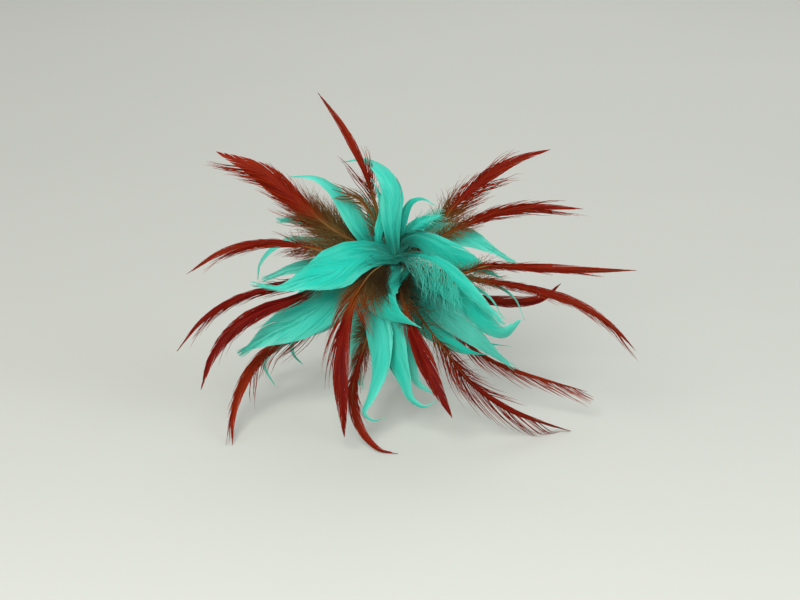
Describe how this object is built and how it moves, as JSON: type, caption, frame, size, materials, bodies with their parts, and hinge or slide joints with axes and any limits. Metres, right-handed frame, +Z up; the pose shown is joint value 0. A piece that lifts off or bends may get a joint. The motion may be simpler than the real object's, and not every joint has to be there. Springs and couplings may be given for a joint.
{
  "type": "goose feather mount",
  "caption": "Burst of curled turquoise goose feathers and rust red rooster hackles tied round a core on a bent taped wire stem.",
  "frame": {"origin": "middle of the bounding box on the surface that the mount rests on", "axes": "+Z up from the resting surface, +X to the right across the spread of the burst, -Y towards the viewer, the way its face looks"},
  "size_m": [0.227, 0.1135, 0.1731],
  "materials": {
    "goose_feather": "satin dyed feather, thin and slightly translucent",
    "hackle_feather": "glossy rust red barbs with an olive brown downy base",
    "floral_tape": "matt crepe tape, wound in a spiral"
  },
  "bodies": {
    "root": {"goose_top": "goose_feather", "goose_top_side": "goose_feather", "goose_top_back": "goose_feather", "goose_upper_left": "goose_feather", "goose_upper_right_hook": "goose_feather", "goose_upper_right_short": "goose_feather", "goose_right_arch": "goose_feather", "goose_right_outer": "goose_feather", "goose_right_front": "goose_feather", "goose_right_thin_outer": "goose_feather", "goose_right_thin_inner": "goose_feather", "goose_right_lower": "goose_feather", "goose_right_lower_back": "goose_feather", "goose_right_crescent": "goose_feather", "goose_right_small": "goose_feather", "goose_left": "goose_feather", "goose_left_broad": "goose_feather", "goose_left_arc": "goose_feather", "goose_left_soft": "goose_feather", "goose_left_blunt": "goose_feather", "goose_left_lower_outer": "goose_feather", "goose_left_lower_inner": "goose_feather", "goose_front_left": "goose_feather", "goose_front_left_back": "goose_feather", "goose_front_right": "goose_feather", "goose_front_right_back": "goose_feather", "goose_centre_curl": "goose_feather", "hackle_top": "hackle_feather", "hackle_top_short": "hackle_feather", "hackle_upper_left": "hackle_feather", "hackle_left": "hackle_feather", "hackle_left_short": "hackle_feather", "hackle_left_lower_1": "hackle_feather", "hackle_left_lower_2": "hackle_feather", "hackle_left_lower_3": "hackle_feather", "hackle_front_left": "hackle_feather", "hackle_front_middle": "hackle_feather", "hackle_front_right": "hackle_feather", "hackle_right_lower_1": "hackle_feather", "hackle_right_lower_2": "hackle_feather", "hackle_right_short": "hackle_feather", "hackle_right": "hackle_feather", "hackle_right_drooping": "hackle_feather", "hackle_upper_right_1": "hackle_feather", "hackle_upper_right_2": "hackle_feather", "binding": "floral_tape", "wire_stem": "floral_tape"}
  },
  "joints": []
}
